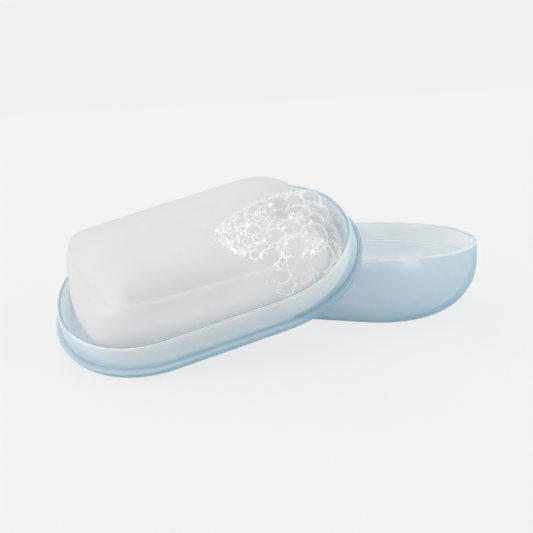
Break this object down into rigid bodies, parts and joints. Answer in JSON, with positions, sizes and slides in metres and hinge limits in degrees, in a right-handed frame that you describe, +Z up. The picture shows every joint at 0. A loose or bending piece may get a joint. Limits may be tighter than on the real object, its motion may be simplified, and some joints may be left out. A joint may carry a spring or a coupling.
{
  "type": "travel soap box",
  "caption": "Two frosted plastic halves with rounded ends that plug together, open, the shallow one leaning on the deep one and holding a used bar of soap with lather.",
  "frame": {"origin": "middle of the deep half's flat base, on the surface that it stands on", "axes": "+Z up out of the deep half's mouth, +X along the deep half's length, -Y towards the leaning shallow half"},
  "size_m": [0.139, 0.1295, 0.0558],
  "materials": {
    "frosted_plastic": "translucent polypropylene, finely matt, pale blue",
    "soap": "white, smooth and slightly waxy",
    "lather": "wet bubbles"
  },
  "bodies": {
    "deep_half": {"deep_half": "frosted_plastic"},
    "shallow_half": {"shallow_half": "frosted_plastic"},
    "soap": {"soap_bar": "soap", "lather": "lather"}
  },
  "joints": [
    {"name": "tray_lift", "type": "slide", "parent": "deep_half", "child": "shallow_half", "axis": [0, 0, 1], "range_m": [0, 0.08]},
    {"name": "soap_lift", "type": "slide", "parent": "shallow_half", "child": "soap", "axis": [0, -0.4772, 0.8788], "range_m": [0, 0.05]}
  ]
}
